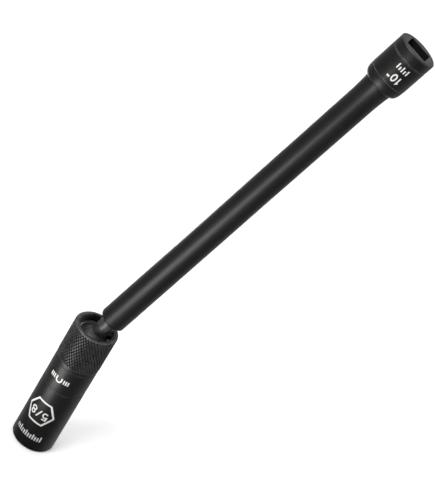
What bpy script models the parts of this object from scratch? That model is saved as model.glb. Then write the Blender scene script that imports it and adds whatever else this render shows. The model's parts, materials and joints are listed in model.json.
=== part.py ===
"""Magnetic spark plug socket that swivels on the end of a long extension with a square female drive.

The socket stands on +Z with its mouth at the origin. The extension's ball sits in the socket's upper
bore on a cross pin, and leans towards +X at rest. Lengths are in metres.
"""

import math

import bmesh
import bpy

# Socket, measured up from the mouth.
SOCKET_LENGTH = 0.0691
BAND_RADIUS = 0.00995
KNURL_RADIUS = 0.01008
KNURL_LENGTH = 0.01845
MARK_BAND_LENGTH = 0.0130
KNURL_SHOULDER = 0.0022
GROOVE_WIDTH = 0.0006
GROOVE_DEPTH = 0.00025
RIM_CHAMFER = 0.00045
MOUTH_ROUND = 0.0008

# Hex cavity for the spark plug, and the bore for its insulator.
PLUG_HEX_ACROSS = 0.015875
PLUG_HEX_CLEARANCE = 0.0001
HEX_DEPTH = 0.0220
HEX_LEAD_IN = 0.0006
PILOT_UNDER_HEX = 0.0002
MAGNET_SHOULDER = 0.0015875

# Magnet and what holds it.
FIT_GAP = 0.0003
MAGNET_LENGTH = 0.0060
MAGNET_WALL = 0.0013
SLEEVE_WALL = 0.0005
SLEEVE_LIP = 0.0016
WASHER_THICKNESS = 0.0007
WASHER_WIDTH = 0.0019

# Swivel joint.
SWIVEL_BELOW_RIM = 0.0078
BALL_RADIUS = 0.00705
BALL_CLEARANCE = 0.00035
NECK_TO_RING = 0.00087
PIN_RADIUS = 0.0014
PIN_END_CHAMFER = 0.0007
PIN_OVERHANG = 0.0009
PIN_END_GAP = 0.0004
SWIVEL_LIMIT = math.radians(17.5)
RING_OVER_PIN = 0.000085
RING_THICKNESS = 0.0010
RING_OVER_BALL = 0.00085
RING_IN_GROOVE = 0.0006
RING_SPLIT = 0.0026
CUP_BELOW_SWIVEL = 0.0042
CUP_FLOOR = 0.0015
CUP_HOLE_RADIUS = 0.0025
SPRING_WAVES = 3
SPRING_SWING = 0.0005
SPRING_THICKNESS = 0.0005
SPRING_WIDTH = 0.0012
BORE_LIP = 0.0006

# Extension, measured up its own axis from the swivel centre.
EXTENSION_REACH = 0.1927
REST_LEAN = math.radians(16.3)
BAR_RADIUS = 0.00593
BAR_START = 0.0144
BAR_START_ROUND = 0.0012
BAR_START_STEP = 0.0010
HEAD_RADIUS = 0.0086
HEAD_BAND_LENGTH = 0.0046
HEAD_LENGTH = 0.0161
HEAD_CHAMFER = 0.0004
BEAD_LENGTH = 0.0046
BEAD_DROP = 0.0020
BEAD_STEP = 0.0001
BEAD_SQUARENESS = 2.5
BAR_FILLET_LENGTH = 0.0100
SQUARE_ACROSS = 0.009525
SQUARE_CLEARANCE = 0.00015
SQUARE_DEPTH = 0.0120
SQUARE_CORNER = 0.0003
SQUARE_TURN = math.radians(61.1)
DETENT_BELOW_FACE = 0.0055
DETENT_WIDTH = 0.0026
DETENT_DEPTH = 0.0006

# Sides of the faceted round shapes.
LARGE_STEPS = 40
SMALL_STEPS = 24
ARC_STEPS = 6
CUTTER_SPARE = 0.001
MERGE = 0.000001

# Levels that several pieces share.
SWIVEL_HEIGHT = SOCKET_LENGTH - SWIVEL_BELOW_RIM
HEX_RADIUS = (PLUG_HEX_ACROSS + PLUG_HEX_CLEARANCE) / 2
PILOT_RADIUS = HEX_RADIUS - PILOT_UNDER_HEX
INSULATOR_BORE_RADIUS = PILOT_RADIUS - MAGNET_SHOULDER
WASHER_BOTTOM = HEX_DEPTH + FIT_GAP
MAGNET_BOTTOM = WASHER_BOTTOM + WASHER_THICKNESS + FIT_GAP
SLEEVE_TOP = MAGNET_BOTTOM + MAGNET_LENGTH + FIT_GAP + SLEEVE_WALL
MAGNET_POCKET_TOP = SLEEVE_TOP + FIT_GAP
BORE_RADIUS = BALL_RADIUS + BALL_CLEARANCE
CUP_SEAT_RADIUS = BALL_RADIUS + FIT_GAP
CUP_BOTTOM = SWIVEL_HEIGHT - CUP_SEAT_RADIUS - CUP_FLOOR
SPRING_MIDDLE = CUP_BOTTOM - FIT_GAP - SPRING_THICKNESS / 2 - SPRING_SWING
BORE_BOTTOM = SPRING_MIDDLE - SPRING_SWING - SPRING_THICKNESS / 2 - FIT_GAP
PIN_HALF_LENGTH = BALL_RADIUS + PIN_OVERHANG
PIN_RISE = ((PIN_HALF_LENGTH - PIN_END_CHAMFER) * math.sin(SWIVEL_LIMIT)
            + PIN_RADIUS * math.cos(SWIVEL_LIMIT))
RING_BOTTOM = SWIVEL_HEIGHT + PIN_RISE + RING_OVER_PIN
RING_INNER_RADIUS = BALL_RADIUS - RING_OVER_BALL
NECK_RADIUS = ((RING_INNER_RADIUS - NECK_TO_RING) * math.cos(SWIVEL_LIMIT)
               - (RING_BOTTOM + RING_THICKNESS - SWIVEL_HEIGHT) * math.sin(SWIVEL_LIMIT))
RING_OUTER_RADIUS = BORE_RADIUS + RING_IN_GROOVE
RING_GROOVE_RADIUS = RING_OUTER_RADIUS + FIT_GAP
SLOT_HALF_WIDTH = PIN_RADIUS + FIT_GAP
SLOT_RADIUS = PIN_HALF_LENGTH + PIN_END_GAP
SLOT_FLOOR_CENTRE = SWIVEL_HEIGHT - PIN_HALF_LENGTH * math.sin(SWIVEL_LIMIT) - PIN_END_CHAMFER / 2
SQUARE_RADIUS = (SQUARE_ACROSS + SQUARE_CLEARANCE) / 2


def clear_scene():
    for old in list(bpy.data.objects):
        bpy.data.objects.remove(old)


def material(name, colour, roughness, metallic):
    """A plain Principled BSDF."""
    made = bpy.data.materials.new(name)
    made.use_nodes = True
    shader = made.node_tree.nodes["Principled BSDF"]
    shader.inputs["Base Color"].default_value = (*colour, 1.0)
    shader.inputs["Roughness"].default_value = roughness
    shader.inputs["Metallic"].default_value = metallic
    return made


def new_object(name, mesh, parent=None, finish=None):
    made = bpy.data.objects.new(name, mesh)
    bpy.context.scene.collection.objects.link(made)
    made.parent = parent
    if finish:
        made.data.materials.append(finish)
    return made


def axis_empty(name, parent=None):
    return new_object(name, None, parent)


def arc(centre_r, centre_z, radius, start, end, steps=ARC_STEPS):
    """Points (r, z) of an arc from angle start to angle end, both included."""
    angles = [start + (end - start) * i / steps for i in range(steps + 1)]
    return [(centre_r + radius * math.cos(a), centre_z + radius * math.sin(a)) for a in angles]


def turned(name, profile, parent, finish, steps=LARGE_STEPS, closed=True):
    """A solid of revolution about local Z. The profile (r, z) runs down its outer side."""
    mesh = bpy.data.meshes.new(name)
    count = len(profile)
    edges = [(i, i + 1) for i in range(count - 1)]
    if closed:
        edges.append((count - 1, 0))
    mesh.from_pydata([(r, 0.0, z) for r, z in profile], edges, [])
    made = new_object(name, mesh, parent, finish)
    screw = made.modifiers.new("turned", "SCREW")
    screw.angle = math.tau
    screw.steps = steps
    screw.render_steps = steps
    screw.use_merge_vertices = True
    screw.merge_threshold = MERGE
    screw.use_smooth_shade = True
    return made


def prism_mesh(name, outline, bottom, top):
    """An upright prism on an outline of (x, y) points that runs anticlockwise."""
    shape = bmesh.new()
    face = shape.faces.new([shape.verts.new((x, y, bottom)) for x, y in outline])
    raised = bmesh.ops.extrude_face_region(shape, geom=[face])
    lifted = [item for item in raised["geom"] if isinstance(item, bmesh.types.BMVert)]
    bmesh.ops.translate(shape, verts=lifted, vec=(0.0, 0.0, top - bottom))
    bmesh.ops.recalc_face_normals(shape, faces=shape.faces)
    mesh = bpy.data.meshes.new(name)
    shape.to_mesh(mesh)
    shape.free()
    return mesh


def cutter(name, mesh, target, parent=None):
    """Cuts the mesh out of the target with an exact Boolean, and hides the cutter."""
    tool = new_object(name, mesh, parent)
    tool.hide_render = True
    tool.display_type = "WIRE"
    cut = target.modifiers.new(name, "BOOLEAN")
    cut.operation = "DIFFERENCE"
    cut.solver = "EXACT"
    cut.object = tool
    return tool


def circle_outline(radius, steps):
    return [
        (radius * math.cos(math.tau * i / steps), radius * math.sin(math.tau * i / steps))
        for i in range(steps)
    ]


def rounded_square(half_side, corner):
    """Outline of a square with round corners, anticlockwise."""
    inner = half_side - corner
    points = []
    for turn, (x, y) in enumerate([(1, 1), (-1, 1), (-1, -1), (1, -1)]):
        start = turn * math.pi / 2
        points += arc(x * inner, y * inner, corner, start, start + math.pi / 2, 3)
    return points


def socket_profile():
    """Down the outside from the rim, then up through the cavities."""
    top = SOCKET_LENGTH
    knurl_end = top - KNURL_LENGTH
    upper_groove = knurl_end - KNURL_SHOULDER
    lower_groove = upper_groove - MARK_BAND_LENGTH
    outside = [(KNURL_RADIUS - RIM_CHAMFER, top), (KNURL_RADIUS, top - RIM_CHAMFER)]
    outside += [(KNURL_RADIUS, knurl_end), (BAND_RADIUS, knurl_end - GROOVE_DEPTH)]
    for groove in (upper_groove, lower_groove):
        edge = GROOVE_WIDTH / 2
        floor = BAND_RADIUS - GROOVE_DEPTH
        outside += [(BAND_RADIUS, groove + edge), (floor, groove), (BAND_RADIUS, groove - edge)]
    mouth = arc(BAND_RADIUS - MOUTH_ROUND, MOUTH_ROUND, MOUTH_ROUND, 0.0, -math.pi / 2, 4)
    cavity = [
        (PILOT_RADIUS + HEX_LEAD_IN, 0.0),
        (PILOT_RADIUS, HEX_LEAD_IN),
        (PILOT_RADIUS, MAGNET_POCKET_TOP),
        (INSULATOR_BORE_RADIUS, MAGNET_POCKET_TOP),
        (INSULATOR_BORE_RADIUS, BORE_BOTTOM),
        (BORE_RADIUS, BORE_BOTTOM),
    ]
    groove_bottom = RING_BOTTOM - FIT_GAP
    groove_top = RING_BOTTOM + RING_THICKNESS + FIT_GAP
    cavity += [(BORE_RADIUS, groove_bottom), (RING_GROOVE_RADIUS, groove_bottom)]
    cavity += [(RING_GROOVE_RADIUS, groove_top), (BORE_RADIUS, groove_top)]
    cavity += [(BORE_RADIUS, top - BORE_LIP), (BORE_RADIUS + BORE_LIP, top)]
    return outside + mouth + cavity


def slot_mesh():
    """Cutter for both pin slots: round at the bottom, open at the rim, across the bore along Y."""
    top = SOCKET_LENGTH + CUTTER_SPARE
    outline = [(SLOT_HALF_WIDTH, top), (-SLOT_HALF_WIDTH, top)]
    outline += arc(0.0, SLOT_FLOOR_CENTRE, SLOT_HALF_WIDTH, math.pi, math.tau, 8)
    mesh = prism_mesh("pin_slots", outline, -SLOT_RADIUS, SLOT_RADIUS)
    for vertex in mesh.vertices:
        x, z, y = vertex.co
        vertex.co = (x, -y, z)
    return mesh


def make_socket(finish):
    body = turned("socket_body", socket_profile(), None, finish)
    hexagon = [
        (HEX_RADIUS / math.cos(math.pi / 6) * math.cos(math.pi / 3 * i),
         HEX_RADIUS / math.cos(math.pi / 6) * math.sin(math.pi / 3 * i))
        for i in range(6)
    ]
    cutter("hex_cavity", prism_mesh("hex_cavity", hexagon, -CUTTER_SPARE, HEX_DEPTH), body)
    cutter("pin_slots", slot_mesh(), body)


def ring_profile(inner, outer, bottom, top):
    return [(outer, top), (outer, bottom), (inner, bottom), (inner, top)]


def make_magnet(magnet_finish, steel_finish, washer_finish):
    """The ring magnet in its pole sleeve, and the washer below them."""
    sleeve_outer = PILOT_RADIUS - FIT_GAP
    sleeve_inner = sleeve_outer - SLEEVE_WALL
    lip_bottom = SLEEVE_TOP - SLEEVE_WALL
    sleeve = [(sleeve_outer, SLEEVE_TOP), (sleeve_outer, MAGNET_BOTTOM), (sleeve_inner, MAGNET_BOTTOM)]
    sleeve += [(sleeve_inner, lip_bottom), (sleeve_outer - SLEEVE_LIP, lip_bottom)]
    sleeve += [(sleeve_outer - SLEEVE_LIP, SLEEVE_TOP)]
    turned("magnet_sleeve", sleeve, None, steel_finish, SMALL_STEPS)
    magnet_outer = sleeve_inner - FIT_GAP
    magnet_inner = magnet_outer - MAGNET_WALL
    magnet = ring_profile(magnet_inner, magnet_outer, MAGNET_BOTTOM, MAGNET_BOTTOM + MAGNET_LENGTH)
    turned("magnet_ring", magnet, None, magnet_finish, SMALL_STEPS)
    washer = ring_profile(
        sleeve_outer - WASHER_WIDTH, sleeve_outer, WASHER_BOTTOM, WASHER_BOTTOM + WASHER_THICKNESS
    )
    turned("magnet_washer", washer, None, washer_finish, SMALL_STEPS)


def make_thrust_cup(finish):
    """A ring whose top is a spherical seat, concentric with the ball and a fit gap away from it."""
    outer = BORE_RADIUS - FIT_GAP
    top = SWIVEL_HEIGHT - CUP_BELOW_SWIVEL
    first = -math.acos(CUP_HOLE_RADIUS / CUP_SEAT_RADIUS)
    last = -math.asin(CUP_BELOW_SWIVEL / CUP_SEAT_RADIUS)
    profile = [(outer, top), (outer, CUP_BOTTOM), (CUP_HOLE_RADIUS, CUP_BOTTOM)]
    profile += arc(0.0, SWIVEL_HEIGHT, CUP_SEAT_RADIUS, first, last)
    turned("thrust_cup", profile, None, finish, SMALL_STEPS)


def make_wave_spring(finish):
    """A flat ring bent into equal waves, with the same thickness all round."""
    outer = BORE_RADIUS - FIT_GAP
    inner = outer - SPRING_WIDTH
    corners = [(inner, -1), (outer, -1), (outer, 1), (inner, 1)]
    shape = bmesh.new()
    rings = []
    for i in range(LARGE_STEPS):
        angle = math.tau * i / LARGE_STEPS
        middle = SPRING_MIDDLE + SPRING_SWING * math.cos(SPRING_WAVES * angle)
        rings.append([
            shape.verts.new((r * math.cos(angle), r * math.sin(angle), middle + side * SPRING_THICKNESS / 2))
            for r, side in corners
        ])
    for i, ring in enumerate(rings):
        following = rings[(i + 1) % LARGE_STEPS]
        for j in range(len(corners)):
            k = (j + 1) % len(corners)
            shape.faces.new((ring[j], ring[k], following[k], following[j]))
    bmesh.ops.recalc_face_normals(shape, faces=shape.faces)
    mesh = bpy.data.meshes.new("wave_spring")
    shape.to_mesh(mesh)
    shape.free()
    new_object("wave_spring", mesh, None, finish)


def make_retaining_ring(finish):
    """A flat snap ring with its split towards +X, in a groove of the socket's bore."""
    top = RING_BOTTOM + RING_THICKNESS
    ring = turned("retaining_ring", ring_profile(RING_INNER_RADIUS, RING_OUTER_RADIUS, RING_BOTTOM, top),
                  None, finish)
    half = RING_SPLIT / 2
    reach = RING_OUTER_RADIUS + CUTTER_SPARE
    gap = [(CUTTER_SPARE, -half), (reach, -half), (reach, half), (CUTTER_SPARE, half)]
    split = prism_mesh("ring_split", gap, RING_BOTTOM - CUTTER_SPARE, top + CUTTER_SPARE)
    cutter("ring_split", split, ring)


def pin_profile(half_length, radius, chamfer):
    return [
        (0.0, half_length),
        (radius - chamfer, half_length),
        (radius, half_length - chamfer),
        (radius, chamfer - half_length),
        (radius - chamfer, -half_length),
        (0.0, -half_length),
    ]


def make_cross_pin(rock, finish):
    """The pin along Y through the ball. It rocks in the socket's slots about X."""
    pin = turned("cross_pin", pin_profile(PIN_HALF_LENGTH, PIN_RADIUS, PIN_END_CHAMFER), rock, finish,
                 SMALL_STEPS, closed=False)
    pin.rotation_euler.x = math.pi / 2


def extension_profile():
    """Down the outside from the middle of the drive face to the bottom of the ball."""
    face = EXTENSION_REACH
    band_end = face - HEAD_BAND_LENGTH
    head_end = face - HEAD_LENGTH
    bead_radius = HEAD_RADIUS - BEAD_STEP
    bead_end = head_end - BEAD_LENGTH
    bead_foot = bead_radius - BEAD_DROP
    bar_end = bead_end - BAR_FILLET_LENGTH
    profile = [(0.0, face), (HEAD_RADIUS - HEAD_CHAMFER, face), (HEAD_RADIUS, face - HEAD_CHAMFER)]
    profile += [(HEAD_RADIUS, band_end + GROOVE_WIDTH / 2), (HEAD_RADIUS - GROOVE_DEPTH, band_end)]
    profile += [(HEAD_RADIUS, band_end - GROOVE_WIDTH / 2)]
    profile += [(HEAD_RADIUS, head_end), (bead_radius, head_end - BEAD_STEP)]
    for i in range(1, ARC_STEPS + 1):
        share = i / ARC_STEPS
        rise = (1 - share ** BEAD_SQUARENESS) ** (1 / BEAD_SQUARENESS)
        profile.append((bead_foot + BEAD_DROP * rise, bead_end + BEAD_LENGTH * (1 - share)))
    for i in range(1, ARC_STEPS):
        share = i / ARC_STEPS
        drop = (bead_foot - BAR_RADIUS) * (1 - (1 - share) ** 2)
        profile.append((bead_foot - drop, bead_end - BAR_FILLET_LENGTH * share))
    profile += [(BAR_RADIUS, bar_end)]
    for i in range(ARC_STEPS + 1):
        angle = math.pi / 2 * i / ARC_STEPS
        profile.append((
            BAR_RADIUS - BAR_START_STEP * (1 - math.cos(angle)),
            BAR_START + BAR_START_ROUND * (1 - math.sin(angle)),
        ))
    profile.append((NECK_RADIUS, BAR_START))
    ball_top = math.acos(NECK_RADIUS / BALL_RADIUS)
    profile += arc(0.0, 0.0, BALL_RADIUS, ball_top, -math.pi / 2, 3 * ARC_STEPS)[:-1]
    profile.append((0.0, -BALL_RADIUS))
    return profile


def make_extension(swing, finish):
    bar = turned("extension_bar", extension_profile(), swing, finish, closed=False)
    face = EXTENSION_REACH
    hole = rounded_square(SQUARE_RADIUS, SQUARE_CORNER)
    square = cutter("drive_square", prism_mesh("drive_square", hole, face - SQUARE_DEPTH, face + CUTTER_SPARE),
                    bar, swing)
    square.rotation_euler.z = SQUARE_TURN
    groove_top = face - DETENT_BELOW_FACE + DETENT_WIDTH / 2
    groove = circle_outline(SQUARE_RADIUS + DETENT_DEPTH, SMALL_STEPS)
    cutter("detent_groove", prism_mesh("detent_groove", groove, groove_top - DETENT_WIDTH, groove_top), bar, swing)
    pin_hole = prism_mesh("pin_hole", circle_outline(PIN_RADIUS + FIT_GAP, SMALL_STEPS),
                          -BALL_RADIUS - CUTTER_SPARE, BALL_RADIUS + CUTTER_SPARE)
    cross = cutter("pin_hole", pin_hole, bar, swing)
    cross.rotation_euler.x = math.pi / 2


clear_scene()
black_oxide = material("black_oxide_steel", (0.030, 0.031, 0.033), 0.38, 0.9)
bright_steel = material("bright_steel", (0.52, 0.52, 0.53), 0.30, 1.0)
spring_steel = material("spring_steel", (0.20, 0.20, 0.21), 0.32, 1.0)
nickel = material("nickel_plate", (0.58, 0.56, 0.52), 0.25, 1.0)
zinc = material("zinc_plate", (0.45, 0.46, 0.48), 0.35, 1.0)
hard_steel = material("hardened_steel", (0.30, 0.30, 0.31), 0.28, 1.0)

make_socket(black_oxide)
make_magnet(nickel, bright_steel, zinc)
make_wave_spring(spring_steel)
make_thrust_cup(hard_steel)
make_retaining_ring(spring_steel)

rock_axis = axis_empty("rock_axis")
rock_axis.location.z = SWIVEL_HEIGHT
swing_axis = axis_empty("swing_axis", rock_axis)
swing_axis.rotation_euler.y = REST_LEAN
make_cross_pin(rock_axis, hard_steel)
make_extension(swing_axis, black_oxide)
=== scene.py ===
"""Swivel spark plug socket on a long extension: fine surfaces, finishes, size marks, camera and light."""

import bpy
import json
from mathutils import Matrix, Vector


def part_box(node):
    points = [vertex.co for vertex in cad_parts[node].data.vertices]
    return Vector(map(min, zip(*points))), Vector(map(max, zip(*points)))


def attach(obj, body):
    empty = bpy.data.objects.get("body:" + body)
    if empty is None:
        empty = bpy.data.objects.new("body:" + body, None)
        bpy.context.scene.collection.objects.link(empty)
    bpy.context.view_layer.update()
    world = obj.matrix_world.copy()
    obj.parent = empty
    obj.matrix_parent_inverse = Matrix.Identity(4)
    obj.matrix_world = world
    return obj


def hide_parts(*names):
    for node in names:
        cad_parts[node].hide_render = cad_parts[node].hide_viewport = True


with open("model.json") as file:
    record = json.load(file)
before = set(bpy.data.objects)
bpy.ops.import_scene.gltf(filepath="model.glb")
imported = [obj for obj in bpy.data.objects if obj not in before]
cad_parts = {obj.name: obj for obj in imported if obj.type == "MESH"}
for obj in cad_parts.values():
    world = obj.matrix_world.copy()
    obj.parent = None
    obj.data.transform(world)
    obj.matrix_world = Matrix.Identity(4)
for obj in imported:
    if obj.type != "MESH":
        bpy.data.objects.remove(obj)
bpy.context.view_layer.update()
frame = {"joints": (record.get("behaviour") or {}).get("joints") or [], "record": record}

import json
import math

import bpy
import numpy as np
from mathutils import Matrix, Vector

# ---- Socket body -------------------------------------------------------------------------------
# One turned piece of chrome vanadium steel, blackened all over. The hexagon is broached from the
# mouth, the pin slots are milled from the rim, and the grip at the rim is rolled as a diamond knurl.


def soften(corners, steps=5):
    """Profile through corners (radius, height, cut). A corner with a cut becomes a quadratic curve.

    The curve starts that cut before the corner and ends it after: a point at share t is the start
    times (1 - t) squared, plus the corner times 2 t (1 - t), plus the end times t squared. Each row
    returned is radius, height and how rounded the place is, 1 in the middle of a curve and 0 on a flat.
    """
    points = []
    for i, (radius, height, cut) in enumerate(corners):
        corner = np.array([radius, height])
        if cut == 0 or i in (0, len(corners) - 1):
            points.append([radius, height, 0.0])
            continue
        before = np.array(corners[i - 1][:2]) - corner
        after = np.array(corners[i + 1][:2]) - corner
        start = corner + before * cut / np.hypot(*before)
        end = corner + after * cut / np.hypot(*after)
        for t in np.linspace(0, 1, steps):
            x, z = start * (1 - t) ** 2 + corner * 2 * t * (1 - t) + end * t ** 2
            points.append([x, z, 4 * t * (1 - t)])
    return np.array(points)


def same_all_round(profile, columns):
    """Three grids, one row per profile point: its radius, height, and how much the finish is lightened, as
    thinned finish and painted highlight, in every column.
    """
    return np.repeat(profile.T[:, :, None], columns, axis=2)


def upright(origin):
    """Axes of a piece that stands on +Z, and where its own zero is."""
    return np.eye(3), np.array(origin)


def turned_skin(name, grids, place, ring=True, other_way=None, crease=30):
    """Closed surface round an axis, from grids of radius, height and finish lightening that run down its
    outside.

    A point is radius times (cos turn, sin turn) out from the axis and height up it, and columns share
    the full turn equally. With ring the last row joins the first; without, a point on the axis closes
    each end. Each cell is two triangles, split from its upper left to its lower right, or the other
    way where other_way says. The attribute turning holds (cos turn, sin turn, distance down the
    profile), and wear holds the third grid, partly thinned finish and partly painted highlight.
    """
    radius, height, wear_and_highlight = grids
    rows, columns = radius.shape
    turn = np.arange(columns) * math.tau / columns
    step = np.hypot(np.diff(radius[:, 0], prepend=radius[0, 0]), np.diff(height[:, 0], prepend=height[0, 0]))
    down = np.repeat(np.cumsum(step)[:, None], columns, axis=1)
    cos, sin = np.cos(turn) + 0 * radius, np.sin(turn) + 0 * radius
    points = np.stack([radius * cos, radius * sin, height], -1).reshape(-1, 3)
    turning = np.stack([cos, sin, down], -1).reshape(-1, 3)
    worn_and_highlighted = wear_and_highlight.ravel()
    index = np.arange(rows * columns).reshape(rows, columns)
    upper = index if ring else index[:-1]
    lower = np.roll(index, -1, axis=0) if ring else index[1:]
    a, b, c, d = upper, np.roll(upper, -1, axis=1), np.roll(lower, -1, axis=1), lower
    other = np.zeros(a.shape, bool) if other_way is None else other_way
    first = np.where(other[..., None], np.stack([a, d, b], -1), np.stack([a, d, c], -1))
    second = np.where(other[..., None], np.stack([d, c, b], -1), np.stack([a, c, b], -1))
    faces = [first.reshape(-1, 3), second.reshape(-1, 3)]
    if not ring:
        poles = np.array([[0, 0, height[0].mean()], [0, 0, height[-1].mean()]])
        points = np.concatenate([points, poles])
        turning = np.concatenate([turning, [[0, 0, down[0, 0]], [0, 0, down[-1, 0]]]])
        worn_and_highlighted = np.concatenate([worn_and_highlighted, [0, 0]])
        top, bottom = np.full(columns, rows * columns), np.full(columns, rows * columns + 1)
        faces.append(np.stack([top, index[0], np.roll(index[0], -1)], -1))
        faces.append(np.stack([index[-1], bottom, np.roll(index[-1], -1)], -1))
    return put_mesh(name, points, np.concatenate(faces), place, turning, worn_and_highlighted, crease)


def put_mesh(name, points, faces, place, turning=None, worn_and_highlighted=None, crease=30):
    """Object of these triangles. A point's place is the origin plus the axes times its own coordinates."""
    axes, origin = place
    points = points @ axes.T + origin
    mesh = bpy.data.meshes.new(name)
    mesh.vertices.add(len(points))
    mesh.vertices.foreach_set("co", points.astype(np.float32).ravel())
    mesh.loops.add(faces.size)
    mesh.loops.foreach_set("vertex_index", faces.astype(np.int32).ravel())
    mesh.polygons.add(len(faces))
    mesh.polygons.foreach_set("loop_start", np.arange(0, faces.size, 3, dtype=np.int32))
    mesh.update(calc_edges=True)
    mesh.shade_smooth()
    mesh.set_sharp_from_angle(angle=math.radians(crease))
    if turning is not None:
        mesh.attributes.new("turning", "FLOAT_VECTOR", "POINT").data.foreach_set(
            "vector", turning.astype(np.float32).ravel())
        mesh.attributes.new("wear_and_highlight", "FLOAT", "POINT").data.foreach_set("value", worn_and_highlighted.astype(np.float32))
    made = bpy.data.objects.new(name, mesh)
    bpy.context.scene.collection.objects.link(made)
    return made


def knurl_height(turn, drop):
    """Height of the diamond knurl, 0 in a groove and 1 on a crest, at a turn and a drop below its top.

    Two families of V grooves wind opposite ways: each is a triangle wave of starts times the share of
    a full turn, plus or minus drop over lead. A diamond is the lower of the two waves, cut off flat.
    """
    waves = [starts * turn / math.tau + way * drop / lead for way in (1, -1)]
    lower = np.minimum(*[1 - np.abs(2 * (wave % 1) - 1) for wave in waves])
    return np.minimum(lower / flat_from, 1)


def hexagon_radius(turn, half_across, corner):
    """Distance from the axis to a hexagon with a corner at turn 0 and all corners rounded.

    Beside a corner, at an angle from it, a flat is half_across over the cosine of 30 degrees less
    that angle. Near the corner it is a circle of radius corner, which touches both flats.
    """
    angle = np.abs((turn + math.pi / 6) % (math.pi / 3) - math.pi / 6)
    centre = (half_across - corner) / math.cos(math.pi / 6)
    touch = math.atan2(corner / 2, centre + corner * math.cos(math.pi / 6))
    bulge = centre * np.cos(angle) + np.sqrt(np.maximum(corner ** 2 - (centre * np.sin(angle)) ** 2, 0))
    return np.where(angle < touch, bulge, half_across / np.cos(math.pi / 6 - angle))


def slot_radius(turn, height):
    """How far out the two pin slots reach, across Y: 0 beside them, and their round end inside them.

    A slot's half width is constant above the centre of its round floor, and below it the square root
    of the half width squared less the depth squared. The side wall is that over the cosine of the turn.
    """
    deep = np.clip(slot_centre - height, 0, slot_half)
    half = np.sqrt(slot_half ** 2 - deep ** 2)
    return np.minimum(slot_reach, half / np.maximum(np.abs(np.cos(turn)), 1e-6))


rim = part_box("socket_body")[1].z
grip_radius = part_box("socket_body")[1].x
band_radius = grip_radius - 0.00013
joints = {joint["name"]: joint for joint in frame["joints"]}
swivel = np.array(joints["pin_rock"]["pos_m"])
pin_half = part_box("cross_pin")[1].y
pin_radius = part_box("cross_pin")[1].x
ring_low, ring_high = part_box("retaining_ring")
cup_low, cup_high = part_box("thrust_cup")
spring_low, spring_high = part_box("wave_spring")
sleeve_low, sleeve_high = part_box("magnet_sleeve")
magnet_low, magnet_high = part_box("magnet_ring")
washer_low, washer_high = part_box("magnet_washer")

starts = 45
steps_across = 10
columns = starts * steps_across
turn = np.arange(columns) * math.tau / columns
chamfer = 0.00045
grip_length = 0.0180
knurl_rows = 75
lead = steps_across * grip_length / knurl_rows
flat_from = 2 / 5
knurl_depth = 0.00030
fit_gap = 0.0003
slot_half = pin_radius + fit_gap
slot_reach = pin_half + 0.0004
swivel_limit = math.radians(17.5)
dome = 0.0007
slot_centre = swivel[2] - pin_half * math.sin(swivel_limit) - dome / 2
bore = cup_high.x + fit_gap
pilot = sleeve_high.x + fit_gap
hexagon = hexagon_radius(turn, pilot + 0.0002, 0.0008)

# The grip: first the chamfer at the rim, which the grooves run out of, then the lattice of diamonds.
chamfer_height = rim - np.linspace(0, chamfer, 5)[:-1, None]
chamfer_crest = knurl_height(turn, rim - chamfer - chamfer_height)
chamfer_radius = np.minimum(grip_radius - chamfer + rim - chamfer_height,
                            grip_radius - knurl_depth * (1 - chamfer_crest))
grip_height = rim - chamfer - np.linspace(0, grip_length, knurl_rows + 1)[:, None]
grip_crest = knurl_height(turn, rim - chamfer - grip_height)
# The third grid lightens the rim's chamfer fully, partly as a painted highlight, and the knurl's crests
# slightly, as thinned finish.
grip = np.stack([
    np.concatenate([chamfer_radius, grip_radius - knurl_depth * (1 - grip_crest)]),
    np.concatenate([chamfer_height, grip_height]) + 0 * turn,
    np.concatenate([0 * chamfer_crest + 1.0, grip_crest ** 4 * 0.25]),
])

# Down the plain band with its two fine grooves, round the mouth, and up the cavities.
grip_end = rim - chamfer - grip_length
upper_groove = grip_end - 0.0022
lower_groove = upper_groove - 0.0130
outside = [(grip_radius - knurl_depth, grip_end - 0.00001, 0), (band_radius, grip_end - 0.0003, 0.00010)]
groove_foot = band_radius - 0.00028
for groove in (upper_groove, lower_groove):
    outside += [(band_radius, groove + 0.0003, 0.00006), (groove_foot, groove + 0.00005, 0.00003)]
    outside += [(groove_foot, groove - 0.00005, 0.00003), (band_radius, groove - 0.0003, 0.00006)]
mouth_round = 0.0008
lead_in = 0.0006
outside += [(band_radius, 0, mouth_round), (pilot + lead_in, 0, 0.00008), (pilot, lead_in, 0)]
outer_skin = same_all_round(soften(outside, 7), columns)
inside_hexagon = (outer_skin[1] <= lead_in + 0.00001) & (outer_skin[0] < band_radius - mouth_round - 0.0001)
outer_skin[0] = np.where(inside_hexagon, np.maximum(outer_skin[0], hexagon), outer_skin[0])
hex_top = washer_low.z - fit_gap
hex_skin = same_all_round(np.array([[pilot, hex_top - 0.00005, 0.0]]), columns)
hex_skin[0] = np.maximum(hex_skin[0], hexagon)
insulator_bore = pilot - 0.0015875
magnet_end = sleeve_high.z + fit_gap
spring_floor = spring_low.z - fit_gap
cavities = [(pilot, hex_top, 0), (pilot, magnet_end, 0), (insulator_bore, magnet_end, 0.00015)]
cavities += [(insulator_bore, spring_floor, 0.0002), (bore, spring_floor, 0)]
cavity_skin = same_all_round(soften(cavities, 4), columns)

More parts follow.
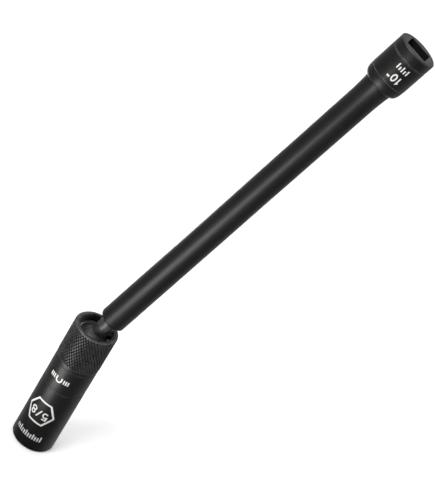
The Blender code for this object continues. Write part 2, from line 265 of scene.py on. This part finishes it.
# The swivel bore, the snap ring's groove in it, and the slots for the pin.
floor_rows = [(bore, h, 0) for h in np.linspace(slot_centre - slot_half - 0.0001, slot_centre, 16)]
groove_low, groove_high = ring_low.z - fit_gap, ring_high.z + fit_gap
groove_radius = ring_high.x + fit_gap
bore_lip = 0.0006
upper_rows = [(bore, groove_low, 0), (groove_radius, groove_low, 0), (groove_radius, groove_high, 0)]
upper_rows += [(bore, groove_high, 0), (bore, rim - bore_lip, 0.0001), (bore + bore_lip, rim, 0.00008)]
upper_rows += [(grip_radius - chamfer, rim, 0)]
bore_skin = same_all_round(np.concatenate([np.array(floor_rows), soften(upper_rows, 4)[:-1]]), columns)
bore_skin[0] = np.maximum(bore_skin[0], slot_radius(turn, bore_skin[1]))
body_grids = np.concatenate([grip, outer_skin, hex_skin, cavity_skin, bore_skin], axis=1)
row, column = np.indices(body_grids[0].shape)
other_way = (row - len(chamfer_height) + column) % 2 == 1
other_way[row >= len(chamfer_height) + knurl_rows] = False
socket_body = turned_skin("socket_skin", body_grids, upright((0, 0, 0)), other_way=other_way)
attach(socket_body, "socket")
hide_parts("socket_body")


def add(tree, kind, sources=(), **settings):
    """Shader node of that kind. Each source is an input's name or number, and a socket or a value."""
    made = tree.nodes.new(kind)
    for setting, value in settings.items():
        setattr(made, setting, value)
    for socket, source in sources:
        if isinstance(source, bpy.types.NodeSocket):
            tree.links.new(source, made.inputs[socket])
        else:
            made.inputs[socket].default_value = source
    return made


def start_group(name, inputs, outputs):
    """Empty shader node group with these (name, kind) sockets, and its two end nodes."""
    tree = bpy.data.node_groups.new(name, "ShaderNodeTree")
    for label, kind in inputs:
        tree.interface.new_socket(name=label, in_out="INPUT", socket_type="NodeSocket" + kind)
    for label, kind in outputs:
        tree.interface.new_socket(name=label, in_out="OUTPUT", socket_type="NodeSocket" + kind)
    return tree, tree.nodes.new("NodeGroupInput"), tree.nodes.new("NodeGroupOutput")


def scaled(tree, value, factor, offset=0.0):
    """Output socket of value times factor plus offset."""
    made = add(tree, "ShaderNodeMath", [(0, value), (1, factor), (2, offset)], operation="MULTIPLY_ADD")
    return made.outputs[0]


# Fine marks that a lathe tool leaves round a turned surface, as a value and as a slight relief.
grain_tree, grain_in, grain_out = start_group(
    "lathe_grain", [("Turning", "Vector"), ("Lines", "Float"), ("Relief", "Float")],
    [("Value", "Float"), ("Normal", "Vector")])
grain_parts = add(grain_tree, "ShaderNodeSeparateXYZ", [(0, grain_in.outputs["Turning"])])
grain_down = add(grain_tree, "ShaderNodeMath", [(0, grain_parts.outputs[2]), (1, grain_in.outputs["Lines"])],
                 operation="MULTIPLY")
grain_place = add(grain_tree, "ShaderNodeCombineXYZ", [
    (0, scaled(grain_tree, grain_parts.outputs[0], 1.3)),
    (1, scaled(grain_tree, grain_parts.outputs[1], 1.3)),
    (2, grain_down.outputs[0])])
grain_noise = add(grain_tree, "ShaderNodeTexNoise", [
    ("Vector", grain_place.outputs[0]), ("Scale", 1.0), ("Detail", 3.0), ("Roughness", 0.6)])
grain_bump = add(grain_tree, "ShaderNodeBump", [
    ("Strength", grain_in.outputs["Relief"]), ("Distance", 0.00002), ("Height", grain_noise.outputs[0])])
grain_tree.links.new(grain_noise.outputs[0], grain_out.inputs["Value"])
grain_tree.links.new(grain_bump.outputs[0], grain_out.inputs["Normal"])

# Uneven colour of a dipped finish: slow clouds over the piece, broken up by finer ones.
cloud_tree, cloud_in, cloud_out = start_group("dip_clouds", [("Place", "Vector")], [("Value", "Float")])
cloud_slow = add(cloud_tree, "ShaderNodeTexNoise", [
    ("Vector", cloud_in.outputs["Place"]), ("Scale", 70.0), ("Detail", 2.0)])
cloud_fine = add(cloud_tree, "ShaderNodeTexNoise", [
    ("Vector", cloud_in.outputs["Place"]), ("Scale", 900.0), ("Detail", 4.0), ("Roughness", 0.65)])
cloud_sum = add(cloud_tree, "ShaderNodeMath", [
    (0, scaled(cloud_tree, cloud_slow.outputs[0], 0.65)),
    (1, scaled(cloud_tree, cloud_fine.outputs[0], 0.35))], operation="ADD")
cloud_tree.links.new(cloud_sum.outputs[0], cloud_out.inputs["Value"])

# Lighter steel on rounded edges and crests, in patches: partly where handling has thinned the finish, partly
# a painted highlight for bright edge reflections.
edge_wear_highlight_tree, edge_wear_highlight_in, edge_wear_highlight_out = start_group(
    "edge_wear_and_highlight", [("Place", "Vector"), ("Wear and highlight", "Float")], [("Value", "Float")])
edge_wear_highlight_noise = add(edge_wear_highlight_tree, "ShaderNodeTexNoise", [
    ("Vector", edge_wear_highlight_in.outputs["Place"]), ("Scale", 350.0), ("Detail", 5.0), ("Roughness", 0.7)])
edge_wear_highlight_patches = add(edge_wear_highlight_tree, "ShaderNodeMapRange", [
    ("Value", edge_wear_highlight_noise.outputs[0]), ("From Min", 0.30), ("From Max", 0.62)], interpolation_type="SMOOTHSTEP")
edge_wear_highlight_amount = add(edge_wear_highlight_tree, "ShaderNodeMath", [(0, edge_wear_highlight_patches.outputs[0]), (1, edge_wear_highlight_in.outputs["Wear and highlight"])],
               operation="MULTIPLY")
edge_wear_highlight_tree.links.new(edge_wear_highlight_amount.outputs[0], edge_wear_highlight_out.inputs["Value"])


def use_group(tree, group, sources=()):
    """Node that stands for a shader node group."""
    made = tree.nodes.new("ShaderNodeGroup")
    made.node_tree = group
    for socket, source in sources:
        if isinstance(source, bpy.types.NodeSocket):
            tree.links.new(source, made.inputs[socket])
        else:
            made.inputs[socket].default_value = source
    return made


def start_material(name, **constants):
    """Material with a Principled shader, its constants set on the shader's own sockets."""
    made = bpy.data.materials.new(name)
    made.use_nodes = True
    shader = made.node_tree.nodes["Principled BSDF"]
    for label, value in constants.items():
        shader.inputs[label.replace("_", " ")].default_value = value
    return made, made.node_tree, shader


black_oxide, tree, shader = start_material("black_oxide", Specular_IOR_Level=0.22)
place = add(tree, "ShaderNodeTexCoord").outputs["Object"]
turning = add(tree, "ShaderNodeAttribute", attribute_name="turning").outputs["Vector"]
wear_and_highlight = add(tree, "ShaderNodeAttribute", attribute_name="wear_and_highlight").outputs["Fac"]
grain = use_group(tree, grain_tree, [("Turning", turning), ("Lines", 9000.0), ("Relief", 0.18)])
clouds = use_group(tree, cloud_tree, [("Place", place)])
edge_wear_highlight = use_group(tree, edge_wear_highlight_tree, [("Place", place), ("Wear and highlight", wear_and_highlight)])
dark = add(tree, "ShaderNodeMix", [
    (0, clouds.outputs[0]), (6, (0.0048, 0.0048, 0.0052, 1)), (7, (0.0086, 0.0086, 0.0093, 1))],
    data_type="RGBA")
# Edges, crests, the neck and the ball turn toward lighter, metallic steel: partly thinned finish, partly a
# painted highlight.
worn_and_highlighted = scaled(tree, edge_wear_highlight.outputs[0], 0.6)
colour = add(tree, "ShaderNodeMix", [
    (0, worn_and_highlighted), (6, dark.outputs[2]), (7, (0.16, 0.16, 0.165, 1))], data_type="RGBA")
rough = add(tree, "ShaderNodeMath", [
    (0, scaled(tree, clouds.outputs[0], 0.16, 0.27)),
    (1, scaled(tree, grain.outputs[0], 0.12))], operation="ADD")
tree.links.new(colour.outputs[2], shader.inputs["Base Color"])
tree.links.new(rough.outputs[0], shader.inputs["Roughness"])
tree.links.new(worn_and_highlighted, shader.inputs["Metallic"])
tree.links.new(grain.outputs["Normal"], shader.inputs["Normal"])
socket_body.data.materials.append(black_oxide)

# ---- Extension bar -----------------------------------------------------------------------------
# Turned from one chrome vanadium bar and blackened with the socket: ball, neck, long round shank,
# bead and head. The square in the head is broached over a drilled hole and has a detent groove.


def square_radius(turn, half_across, corner):
    """Distance from the axis to a square with rounded corners, its flats across turn 0.

    A flat is half_across over the cosine of the angle from its middle. Near a corner it is a circle
    of radius corner that touches both flats.
    """
    angle = np.abs((turn + math.pi / 4) % (math.pi / 2) - math.pi / 4)
    centre = (half_across - corner) * math.sqrt(2)
    from_corner = math.pi / 4 - angle
    touch = math.pi / 4 - math.atan2(half_across - corner, half_across)
    bulge = centre * np.cos(from_corner) + np.sqrt(
        np.maximum(corner ** 2 - (centre * np.sin(from_corner)) ** 2, 0))
    return np.where(from_corner < touch, bulge, half_across / np.cos(angle))


mounts = {mount["name"]: mount for mount in frame["record"]["mounts"]}
lean = np.array(mounts["drive_face"]["axis"])
across = np.array([lean[2], 0.0, -lean[0]])
extension_place = (np.stack([across, [0, 1, 0], lean], axis=1), swivel)
reach = float((np.array(mounts["drive_face"]["pos_m"]) - swivel) @ lean)
bar_columns = 240
bar_turn = np.arange(bar_columns) * math.tau / bar_columns
head_radius = 0.0086
band_end = reach - 0.0046
head_end = reach - 0.0161
bead_length = 0.0046
bead_end = head_end - bead_length
bar_radius = 0.00593
fillet_length = 0.0100
shank_start = 0.0144
shank_round = 0.0012
shank_step = 0.0010
neck_radius = 0.0037
square = square_radius(bar_turn - math.radians(61.1), 0.0048375, 0.0003)

# Up the square hole: drill point, square floor, detent groove, and a small break at the face.
hole_floor = reach - 0.0120
detent = reach - 0.0055
detent_radius = 0.0054375
hole_rows = [(0.0030, hole_floor - 0.0006, 0), (0.0047, hole_floor, 0), (0.0072, hole_floor, 0)]
hole_rows += [(0.0, detent - 0.0013, 0), (detent_radius, detent - 0.00125, 0)]
hole_rows += [(detent_radius, detent + 0.00125, 0), (0.0, detent + 0.0013, 0)]
hole_rows += [(0.0, reach - 0.00030, 0)]
hole_skin = same_all_round(np.array(hole_rows), bar_columns)
hole_skin[0][:2] = np.minimum(hole_skin[0][:2], square)
hole_skin[0][2] = square
hole_skin[0][3:] = np.maximum(hole_skin[0][3:], square)
edge_skin = same_all_round(np.array([[0.0, reach, 0.5]]), bar_columns)
edge_skin[0] = square + 0.00026

# Down the outside, from the face to the neck's end in the ball.
share = np.linspace(0, 1, 14)[1:, None]
bead_foot = head_radius - 0.0021
bead_curve = np.concatenate([
    bead_foot + 0.0020 * (1 - share ** 2.5) ** 0.4, bead_end + bead_length * (1 - share), 0 * share], axis=1)
fillet_drop = (bead_foot - bar_radius) * (1 - (1 - share) ** 2)
fillet_curve = np.concatenate([bead_foot - fillet_drop, bead_end - fillet_length * share, 0 * share], axis=1)
head_corners = [(0.0073, reach, 0), (head_radius - 0.0004, reach, 0.00018)]
head_corners += [(head_radius, reach - 0.0004, 0.00018), (head_radius, band_end + 0.0003, 0.00012)]
head_corners += [(head_radius - 0.00025, band_end, 0.00008), (head_radius, band_end - 0.0003, 0.00012)]
head_corners += [(head_radius, head_end + 0.00025, 0.00020)]
head_corners += [(head_radius - 0.00035, head_end - 0.00005, 0.00005)]
head_corners += [(head_radius - 0.0001, head_end - 0.00030, 0)]
quarter = np.linspace(0, math.pi / 2, 12)[:, None]
bar_start = np.concatenate([
    bar_radius - shank_step * (1 - np.cos(quarter)), shank_start + shank_round * (1 - np.sin(quarter)),
    0 * quarter], axis=1)
neck = soften([(bar_radius - shank_step, shank_start, 0), (neck_radius, shank_start, 0.0010),
               (neck_radius, 0.0050, 0)], 8)[1:]
# A painted highlight: the neck's third column is set high, so the neck turns to lighter, metallic steel in
# patches all along.
neck[:, 2] = 0.85
outside = np.concatenate([soften(head_corners, 6), bead_curve, fillet_curve, bar_start, neck])
shank_grids = np.concatenate([hole_skin, edge_skin, same_all_round(outside, bar_columns)], axis=1)
shank = turned_skin("extension_shank", shank_grids, extension_place, ring=False)
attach(shank, "extension")
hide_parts("extension_bar")
shank.data.materials.append(black_oxide)

# The ball is drilled across for the pin, so its rows run round the pin's own axis.
ball_radius = bore - 0.00035
hole = pin_radius + fit_gap
first = math.asin(hole / ball_radius) + 0.02
polar = np.linspace(first, math.pi - first, 60)[:, None]
# The ball is lightened evenly toward metallic steel in patches: partly polish from turning in its seat,
# partly a painted highlight.
ball_curve = np.concatenate([
    ball_radius * np.sin(polar), ball_radius * np.cos(polar), 0.45 + 0 * polar], axis=1)
hole_top = math.sqrt(ball_radius ** 2 - hole ** 2) - 0.00018
ball_rows = np.concatenate([ball_curve, [[hole, -hole_top, 0.4], [hole, hole_top, 0.4]]])
ball_place = (np.stack([lean, across, [0, 1, 0]], axis=1), swivel)
ball = turned_skin("joint_ball", same_all_round(ball_rows, 120), ball_place)
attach(ball, "extension")
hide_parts("extension_bar")
ball.data.materials.append(black_oxide)

# ---- Cross pin ---------------------------------------------------------------------------------
# Short pin of hardened, ground steel with domed ends. It is pushed through the ball, and its ends
# run in the socket's two slots.


def steel(name, colour, roughness, lines, relief):
    """Bare or plated steel: one colour, lathe or grinding grain, and a slightly cloudy gloss."""
    made, tree, shader = start_material(name, Base_Color=(*colour, 1), Metallic=1.0)
    place = add(tree, "ShaderNodeTexCoord").outputs["Object"]
    turning = add(tree, "ShaderNodeAttribute", attribute_name="turning").outputs["Vector"]
    grain = use_group(tree, grain_tree, [("Turning", turning), ("Lines", lines), ("Relief", relief)])
    clouds = use_group(tree, cloud_tree, [("Place", place)])
    rough = add(tree, "ShaderNodeMath", [
        (0, scaled(tree, clouds.outputs[0], 0.14, roughness - 0.12)),
        (1, scaled(tree, grain.outputs[0], 0.10))], operation="ADD")
    tree.links.new(rough.outputs[0], shader.inputs["Roughness"])
    tree.links.new(grain.outputs["Normal"], shader.inputs["Normal"])
    return made


hardened_steel = steel("hardened_steel", (0.20, 0.20, 0.205), 0.30, 12000.0, 0.15)
bend = np.linspace(0.12, math.pi / 2, 7)[:, None]
pin_end = np.concatenate([
    pin_radius * np.sin(bend), pin_half - dome * (1 - np.cos(bend)), 0.3 + 0 * bend], axis=1)
pin_rows = np.concatenate([pin_end, pin_end[::-1] * [1, -1, 1]])
pin_place = (np.stack([[0, 0, 1], [1, 0, 0], [0, 1, 0]], axis=1), swivel)
pin = turned_skin("pin_skin", same_all_round(pin_rows, 64), pin_place, ring=False)
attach(pin, "pin")
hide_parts("cross_pin")
pin.data.materials.append(hardened_steel)

# ---- Snap ring ---------------------------------------------------------------------------------
# Flat ring of oil-blackened spring steel, split on one side. It is squeezed into its groove in the
# socket's bore above the ball and keeps the ball in.


def split_ring(name, inner, outer, bottom, top, half_gap, edge):
    """Flat ring with square edges slightly broken, open round turn 0 and closed at both ends.

    The section runs round its eight corners. A point is its radius times (cos turn, sin turn), and the
    turns share equally the way from the gap's one side to its other, each side at y plus or minus
    half_gap.
    """
    section = np.array([
        (outer, top - edge), (outer, bottom + edge), (outer - edge, bottom), (inner + edge, bottom),
        (inner, bottom + edge), (inner, top - edge), (inner + edge, top), (outer - edge, top)])
    steps = 160
    begin = np.arcsin(half_gap / section[:, 0])
    turn = begin + np.linspace(0, 1, steps)[:, None] * (math.tau - 2 * begin)
    radius, height = section[:, 0] + 0 * turn, section[:, 1] + 0 * turn
    points = np.stack([radius * np.cos(turn), radius * np.sin(turn), height], -1).reshape(-1, 3)
    turning = np.stack([np.cos(turn), np.sin(turn), radius + height], -1).reshape(-1, 3)
    index = np.arange(steps * 8).reshape(steps, 8)
    a, b = index[:-1], np.roll(index[:-1], -1, axis=1)
    c, d = np.roll(index[1:], -1, axis=1), index[1:]
    sides = [np.stack([a, b, c], -1).reshape(-1, 3), np.stack([a, c, d], -1).reshape(-1, 3)]
    fan = np.arange(1, 7)
    first_cap = np.stack([0 * fan, fan + 1, fan], -1)
    last_cap = index[-1][np.stack([0 * fan, fan, fan + 1], -1)]
    faces = np.concatenate([*sides, first_cap, last_cap])
    return put_mesh(name, points, faces, upright((0, 0, 0)), turning, np.zeros(len(points)))


spring_steel = steel("spring_steel", (0.36, 0.36, 0.37), 0.30, 5000.0, 0.15)
ring_inner = ball_radius - 0.00085
snap_ring = split_ring("snap_ring", ring_inner, ring_high.x, ring_low.z, ring_high.z, 0.0013, 0.00006)
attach(snap_ring, "socket")
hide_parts("retaining_ring")
snap_ring.data.materials.append(spring_steel)

# ---- Thrust cup and wave spring ----------------------------------------------------------------
# A hardened steel cup with a ground round seat for the ball, and below it a ring of flat spring
# steel bent into three waves. Both drop into the bore before the ball and press against it.
seat = ball_radius + fit_gap
cup_hole = 0.0025
seat_rim = -math.asin((swivel[2] - cup_high.z) / seat)
seat_turn = np.linspace(-math.acos(cup_hole / seat), seat_rim, 24)[:, None]
seat_curve = np.concatenate([
    seat * np.cos(seat_turn), swivel[2] + seat * np.sin(seat_turn), 0 * seat_turn], axis=1)
cup_outer = [(seat_curve[-1, 0], cup_high.z, 0), (cup_high.x, cup_high.z, 0.0002)]
cup_outer += [(cup_high.x, cup_low.z, 0.0002), (cup_hole, cup_low.z, 0.0001), (*seat_curve[0, :2], 0)]
cup_rows = np.concatenate([soften(cup_outer, 4)[1:-1], seat_curve])
cup = turned_skin("cup_skin", same_all_round(cup_rows, 120), upright((0, 0, 0)))
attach(cup, "socket")
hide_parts("thrust_cup")
cup.data.materials.append(hardened_steel)

spring_middle = (spring_low.z + spring_high.z) / 2
spring_rows = [(spring_high.x - 0.0012, 0.00025, 0), (spring_high.x, 0.00025, 0.00004)]
spring_rows += [(spring_high.x, -0.00025, 0.00004), (spring_high.x - 0.0012, -0.00025, 0)]
spring_grids = same_all_round(soften(spring_rows, 3), 144)
spring_grids[1] += spring_middle + 0.0005 * np.cos(3 * np.arange(144) * math.tau / 144)
wave_spring = turned_skin("spring_skin", spring_grids, upright((0, 0, 0)))
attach(wave_spring, "socket")
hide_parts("wave_spring")
wave_spring.data.materials.append(spring_steel)

# ---- Magnet, pole sleeve and washer ------------------------------------------------------------
# A nickel plated ring magnet glued into a drawn steel sleeve with a turned-in lip, with a zinc
# plated washer below it that meets the spark plug. They are pushed up the bore behind the hexagon.


def bored_ring(name, low, high, inner, cut, finish, lip=None):
    """Ring from inner to its CAD node's radius, all corners rounded by cut, riding on the socket.

    With lip, which is (thickness, radius), the ring is a thin wall whose top turns in that far.
    """
    corners = [(inner, high.z, cut), (high.x, high.z, cut), (high.x, low.z, cut), (inner, low.z, cut)]
    if lip:
        corners = [(lip[1], high.z, cut), (high.x, high.z, cut * 2), (high.x, low.z, cut)]
        corners += [(inner, low.z, cut), (inner, high.z - lip[0], 0), (lip[1], high.z - lip[0], cut)]
    wrapped = soften([corners[-1], *corners, corners[0]], 5)[1:-1]
    made = turned_skin(name, same_all_round(wrapped, 120), upright((0, 0, 0)))
    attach(made, "socket")
    made.data.materials.append(finish)
    return made


nickel = steel("nickel", (0.58, 0.56, 0.52), 0.26, 7000.0, 0.1)
pole_steel = steel("pole_steel", (0.50, 0.50, 0.51), 0.30, 7000.0, 0.15)
zinc = steel("zinc", (0.45, 0.46, 0.48), 0.38, 6000.0, 0.15)
magnet_inner = magnet_high.x - 0.0013
magnet = bored_ring("magnet_skin", magnet_low, magnet_high, magnet_inner, 0.0002, nickel)
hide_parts("magnet_ring")
sleeve_lip = (0.0005, sleeve_high.x - 0.0016)
sleeve = bored_ring("sleeve_skin", sleeve_low, sleeve_high, sleeve_high.x - 0.0005, 0.0001,
                    pole_steel, sleeve_lip)
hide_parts("magnet_sleeve")
washer = bored_ring("washer_skin", washer_low, washer_high, washer_high.x - 0.0019, 0.0001, zinc)
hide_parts("magnet_washer")

# ---- Size marks --------------------------------------------------------------------------------
# Pale matt marks that a laser leaves in the black finish: the hexagon's size in a plain hexagon and
# the bar's length, and plain tick rows and a magnet sign. Each stroke is a slab a hair thick.


def stroke(path, width, closed, radius, centre, tall):
    """Points and triangles of one stroke wrapped on a cylinder, as a thin closed slab.

    The path holds (reading, up) places. It is cut into equal short steps, and each step's two edges
    lie half the width to its sides along the mitre, which is the sum of the normals before and after
    over one plus their product. A place maps to the turn centre minus reading over radius, and to
    tall minus up along the axis, because the marks read with the drive end down.
    """
    path = np.array(path, float)
    if closed:
        path = np.concatenate([path, path[:1]])
    lengths = np.hypot(*np.diff(path, axis=0).T)
    pieces = np.maximum(np.ceil(lengths / 0.0004).astype(int), 1)
    line = np.concatenate([
        np.linspace(p, q, n, endpoint=False) for p, q, n in zip(path[:-1], path[1:], pieces)] + [path[-1:]])
    if closed:
        line = line[:-1]
    ahead = np.roll(line, -1, axis=0) - line
    if not closed:
        ahead[-1] = ahead[-2]
    ahead /= np.hypot(*ahead.T)[:, None]
    behind = np.roll(ahead, 1, axis=0)
    if not closed:
        behind[0] = ahead[0]
    side = np.stack([-ahead[:, 1], ahead[:, 0]], -1)
    side_before = np.stack([-behind[:, 1], behind[:, 0]], -1)
    mitre = (side + side_before) / np.maximum(1 + np.sum(side * side_before, axis=1), 0.35)[:, None]
    left, right = line + mitre * width / 2, line - mitre * width / 2
    flat = np.stack([left, right, right, left], axis=1)
    out = radius + np.array([0.000018, 0.000018, -0.00004, -0.00004]) + 0 * flat[..., 0]
    turn = centre - flat[..., 0] / radius
    points = np.stack([out * np.cos(turn), out * np.sin(turn), tall - flat[..., 1]], -1).reshape(-1, 3)
    index = np.arange(len(line) * 4).reshape(-1, 4)
    here = index if closed else index[:-1]
    there = np.roll(index, -1, axis=0) if closed else index[1:]
    a, b = here, np.roll(here, -1, axis=1)
    c, d = np.roll(there, -1, axis=1), there
    faces = [np.stack([a, c, b], -1).reshape(-1, 3), np.stack([a, d, c], -1).reshape(-1, 3)]
    if not closed:
        faces.append(np.array([[0, 1, 2], [0, 2, 3]]))
        faces.append(index[-1][np.array([[0, 2, 1], [0, 3, 2]])])
    return points, np.concatenate(faces)


def marks(name, strokes, place, radius, body):
    """One piece of many strokes (path, width, closed, centre turn, height up the axis)."""
    points, faces, count = [], [], 0
    for path, width, closed, centre, tall in strokes:
        some_points, some_faces = stroke(path, width, closed, radius, centre, tall)
        points.append(some_points)
        faces.append(some_faces + count)
        count += len(some_points)
    made = put_mesh(name, np.concatenate(points), np.concatenate(faces), place)
    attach(made, body)
    made.data.materials.append(mark_white)
    return made


def bow(x, y, wide, high, start, end, steps=16):
    """Places along an ellipse round (x, y) from the angle start to end, in degrees."""
    angles = np.radians(np.linspace(start, end, steps))
    return [(x + wide * math.cos(a), y + high * math.sin(a)) for a in angles]


def digit(character):
    """Strokes of a plain numeral, one unit high and centred on (0, 0)."""
    shapes = {
        "0": [(bow(0, 0, 0.25, 0.44, 0, 337.5), True)],
        "1": [([(-0.17, 0.27), (0.02, 0.44), (0.02, -0.44)], False)],
        "5": [([(0.24, 0.44), (-0.19, 0.44), (-0.22, 0.05)]
               + bow(-0.01, -0.15, 0.26, 0.29, 130, -140), False)],
        "8": [(bow(0, 0.22, 0.21, 0.22, 0, 337.5), True), (bow(0, -0.22, 0.26, 0.22, 0, 337.5), True)],
        "/": [([(-0.20, -0.5), (0.20, 0.5)], False)],
        '"': [([(-0.09, 0.44), (-0.09, 0.2)], False), ([(0.09, 0.44), (0.09, 0.2)], False)],
    }
    return shapes[character]


def write(text, size, width, spacing, centre, tall):
    """Strokes of a row of numerals, evenly spaced about the centre."""
    rows = []
    for i, character in enumerate(text):
        shift = (i - (len(text) - 1) / 2) * spacing
        for path, closed in digit(character):
            placed = [(x * size + shift, y * size) for x, y in path]
            rows.append((placed, width, closed, centre, tall))
    return rows


mark_white, tree, shader = start_material("mark_white", Roughness=0.7, Specular_IOR_Level=0.3)
place = add(tree, "ShaderNodeTexCoord").outputs["Object"]
clouds = use_group(tree, cloud_tree, [("Place", place)])
pale = add(tree, "ShaderNodeMix", [
    (0, clouds.outputs[0]), (6, (0.38, 0.375, 0.35, 1)), (7, (0.56, 0.55, 0.52, 1))], data_type="RGBA")
tree.links.new(pale.outputs[2], shader.inputs["Base Color"])

front = math.radians(-125)
sixths = np.radians(np.arange(0, 360, 60))
badge = [(0.0069 * math.cos(a), 0.0069 * math.sin(a)) for a in sixths]
socket_strokes = [(badge, 0.00085, True, front, 0.0213)]
socket_strokes += write("5/8", 0.0042, 0.00065, 0.0031, front, 0.0205)
tick_places = np.linspace(-0.0066, 0.0066, 12)
for i, x in enumerate(tick_places):
    low = -0.0015 if i % 3 == 0 else -0.0007
    socket_strokes.append(([(x, low), (x, 0.0015)], 0.00065, False, front, 0.0075))
horseshoe = [(0.0013, -0.0012), (0.0013, 0.0002)]
horseshoe += bow(0, 0.0002, 0.0013, 0.0013, 0, 180)[1:] + [(-0.0013, -0.0012)]
socket_strokes.append((horseshoe, 0.0007, False, front, 0.0423))
for x in (-0.0046, -0.0036, -0.0026, 0.0026, 0.0036, 0.0046):
    socket_strokes.append(([(x, -0.0011), (x, 0.0011)], 0.00055, False, front, 0.0423))
marks("socket_marks", socket_strokes, upright((0, 0, 0)), band_radius, "socket")

head_front = math.radians(-107)
head_strokes = write('10"', 0.0034, 0.0006, 0.0023, head_front, reach - 0.0121)
for x in (-0.0024, -0.0012, 0.0, 0.0012, 0.0024):
    low = -0.0012 if abs(x) in (0.0, 0.0024) else -0.0004
    head_strokes.append(([(x, low), (x, 0.0012)], 0.00055, False, head_front, reach - 0.0075))
marks("head_marks", head_strokes, extension_place, head_radius, "extension")

# ---- Floor, light and camera -------------------------------------------------------------------
# A plain pale floor under the mouth, a white softbox overhead, a key light, and three soft panels
# that lie on the floor and show as the long bright stripes along the turned shapes.
floor_mesh = bpy.data.meshes.new("floor")
floor_mesh.from_pydata([(-4, -4, 0), (4, -4, 0), (4, 4, 0), (-4, 4, 0)], [], [(0, 1, 2, 3)])
floor = bpy.data.objects.new("floor", floor_mesh)
bpy.context.scene.collection.objects.link(floor)
floor.location.z = -0.0001
pale_floor, tree, shader = start_material("pale_floor", Base_Color=(0.93, 0.93, 0.93, 1), Roughness=0.9,
                                          Specular_IOR_Level=0.1)
floor_mesh.materials.append(pale_floor)
floor.visible_glossy = False


def soft_panel(name, centre, target, wide, tall, watts, spread=180):
    """Rectangular area light at centre, turned to face the target."""
    light = bpy.data.lights.new(name, "AREA")
    light.shape = "RECTANGLE"
    light.size = wide
    light.size_y = tall
    light.energy = watts
    light.spread = math.radians(spread)
    holder = bpy.data.objects.new(name, light)
    bpy.context.scene.collection.objects.link(holder)
    holder.location = centre
    holder.rotation_euler = (Vector(target) - Vector(centre)).to_track_quat("-Z", "Y").to_euler()
    return holder


soft_panel("overhead", (0.0, 0.1, 1.6), (0.0, 0.1, 0.0), 2.4, 2.4, 31.0)
key_turn = math.radians(-150)
key_rise = math.radians(52)
key_place = Vector((math.cos(key_turn) * math.cos(key_rise), math.sin(key_turn) * math.cos(key_rise),
                    math.sin(key_rise))) * 1.4
soft_panel("key", key_place, (0, 0, 0.05), 0.5, 0.5, 10.5)


def floor_panel(name, turn, near, far, wide, watts):
    """Panel lying face up just over the floor, from near to far out from the socket at that turn."""
    middle = Vector((math.cos(turn), math.sin(turn), 0)) * (near + far) / 2
    panel = soft_panel(name, middle, middle + Vector((0, 0, 1)), far - near, wide, watts)
    panel.location.z = 0.003
    panel.rotation_euler = (math.pi, 0, turn)
    return panel


floor_panel("near_panel", math.radians(-143), 0.045, 0.14, 0.034, 0.13)
floor_panel("far_panel", math.radians(-130), 0.20, 1.10, 0.20, 8.0)
floor_panel("rear_panel", math.radians(72), 0.20, 1.10, 0.26, 6.0)

# The room is dim behind the camera and lighter behind the object, a little to its right.
world = bpy.data.worlds.new("studio")
bpy.context.scene.world = world
world.use_nodes = True
tree = world.node_tree
toward = add(tree, "ShaderNodeVectorMath", [
    (0, add(tree, "ShaderNodeTexCoord").outputs["Generated"]),
    (1, (math.cos(math.radians(58)), math.sin(math.radians(58)), 0))], operation="DOT_PRODUCT")
glow = add(tree, "ShaderNodeMapRange", [
    ("Value", toward.outputs["Value"]), ("From Min", -0.2), ("From Max", 0.4), ("To Min", 0.10),
    ("To Max", 0.62)], interpolation_type="SMOOTHSTEP")
tree.links.new(glow.outputs[0], tree.nodes["Background"].inputs["Strength"])
tree.nodes["Background"].inputs["Color"].default_value = (1, 1, 1, 1)

camera_data = bpy.data.cameras.new("camera")
camera_data.lens = 130.9
camera_data.sensor_width = 36
camera_data.clip_start = 0.01
camera = bpy.data.objects.new("camera", camera_data)
bpy.context.scene.collection.objects.link(camera)
look = Vector((0.30733, 0.78776, -0.53384)).normalized()
above = Vector((-0.32885, 0.61434, 0.71724))
beside = look.cross(above).normalized()
above = beside.cross(look)
turned = Matrix((beside, above, -look)).transposed().to_4x4()
camera.matrix_world = Matrix.Translation((-0.20017, -0.58257, 0.52363)) @ turned
bpy.context.scene.camera = camera
bpy.context.scene.view_settings.view_transform = "Standard"
